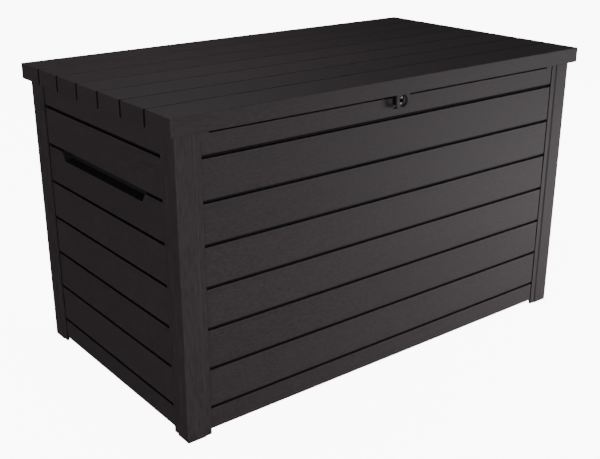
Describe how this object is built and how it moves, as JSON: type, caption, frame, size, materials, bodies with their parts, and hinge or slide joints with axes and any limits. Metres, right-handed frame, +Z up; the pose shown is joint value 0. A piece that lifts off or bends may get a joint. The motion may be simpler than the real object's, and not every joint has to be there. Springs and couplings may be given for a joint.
{
  "type": "deck storage box",
  "caption": "Large lidded resin deck box with boarded walls, corner posts, end handle pockets, a padlock tab and a planked lid on rear hinges with gas struts.",
  "frame": {"origin": "on the ground under the middle of the closed box", "axes": "+X along the length to the right, -Y out of the front, +Z up"},
  "size_m": [1.468, 0.831, 0.863],
  "materials": {
    "lid_resin": "dark espresso resin moulded with fine brushed wood grain along the planks",
    "wall_resin": "dark espresso resin moulded with fine brushed wood grain along the boards",
    "post_resin": "dark espresso resin moulded with upright wood grain",
    "floor_resin": "plain dark resin with a light moulded texture",
    "hinge_resin": "smooth dark resin",
    "steel": "zinc-plated steel",
    "black_steel": "black powder-coated steel"
  },
  "bodies": {
    "box": {"floor_panel": "floor_resin", "front_wall": "wall_resin", "rear_wall": "wall_resin", "left_wall": "wall_resin", "right_wall": "wall_resin", "post_front_left": "post_resin", "post_front_right": "post_resin", "post_rear_left": "post_resin", "post_rear_right": "post_resin", "lock_eye": "hinge_resin", "hinge_left_body_leaf": "hinge_resin", "hinge_left_pin": "steel", "hinge_left_body_leaf_screw_left": "steel", "hinge_left_body_leaf_screw_right": "steel", "hinge_middle_body_leaf": "hinge_resin", "hinge_middle_pin": "steel", "hinge_middle_body_leaf_screw_left": "steel", "hinge_middle_body_leaf_screw_right": "steel", "hinge_right_body_leaf": "hinge_resin", "hinge_right_pin": "steel", "hinge_right_body_leaf_screw_left": "steel", "hinge_right_body_leaf_screw_right": "steel", "strut_left_foot_bracket": "black_steel", "strut_left_foot_bracket_screw_front": "steel", "strut_left_foot_bracket_screw_rear": "steel", "strut_right_foot_bracket": "black_steel", "strut_right_foot_bracket_screw_front": "steel", "strut_right_foot_bracket_screw_rear": "steel"},
    "lid": {"lid": "lid_resin", "lid_tube_front": "black_steel", "lid_tube_rear": "black_steel", "tube_clip_front_left": "hinge_resin", "tube_clip_front_right": "hinge_resin", "tube_clip_rear_left": "hinge_resin", "tube_clip_rear_right": "hinge_resin", "hinge_left_lid_leaf": "hinge_resin", "hinge_left_lid_leaf_screw_left": "steel", "hinge_left_lid_leaf_screw_right": "steel", "hinge_middle_lid_leaf": "hinge_resin", "hinge_middle_lid_leaf_screw_left": "steel", "hinge_middle_lid_leaf_screw_right": "steel", "hinge_right_lid_leaf": "hinge_resin", "hinge_right_lid_leaf_screw_left": "steel", "hinge_right_lid_leaf_screw_right": "steel", "strut_left_head_bracket": "black_steel", "strut_left_head_bracket_screw_front": "steel", "strut_left_head_bracket_screw_rear": "steel", "strut_right_head_bracket": "black_steel", "strut_right_head_bracket_screw_front": "steel", "strut_right_head_bracket_screw_rear": "steel"},
    "strut_left_cylinder": {"strut_left_cylinder": "black_steel"},
    "strut_left_rod": {"strut_left_rod": "steel"},
    "strut_right_cylinder": {"strut_right_cylinder": "black_steel"},
    "strut_right_rod": {"strut_right_rod": "steel"}
  },
  "joints": [
    {"name": "lid_hinge", "type": "hinge", "parent": "box", "child": "lid", "pos_m": [0, 0.4065, 0.809], "axis": [-1, 0, 0], "range_deg": [0, 90]},
    {"name": "strut_left_pivot", "type": "hinge", "parent": "box", "child": "strut_left_cylinder", "pos_m": [-0.6735, 0.3415, 0.749], "axis": [-1, 0, 0], "range_deg": [0, 85]},
    {"name": "strut_left_slide", "type": "slide", "parent": "strut_left_cylinder", "child": "strut_left_rod", "axis": [0, -0.955, 0.2967], "range_m": [0, 0.1223]},
    {"name": "strut_right_pivot", "type": "hinge", "parent": "box", "child": "strut_right_cylinder", "pos_m": [0.6735, 0.3415, 0.749], "axis": [-1, 0, 0], "range_deg": [0, 85]},
    {"name": "strut_right_slide", "type": "slide", "parent": "strut_right_cylinder", "child": "strut_right_rod", "axis": [0, -0.955, 0.2967], "range_m": [0, 0.1223]}
  ],
  "couplings": [
    {"joint": "strut_left_pivot", "follows": "lid_hinge", "ratio": 0.94409},
    {"joint": "strut_left_slide", "follows": "lid_hinge", "m_per_rad": 0.077843},
    {"joint": "strut_right_pivot", "follows": "lid_hinge", "ratio": 0.94409},
    {"joint": "strut_right_slide", "follows": "lid_hinge", "m_per_rad": 0.077843}
  ]
}
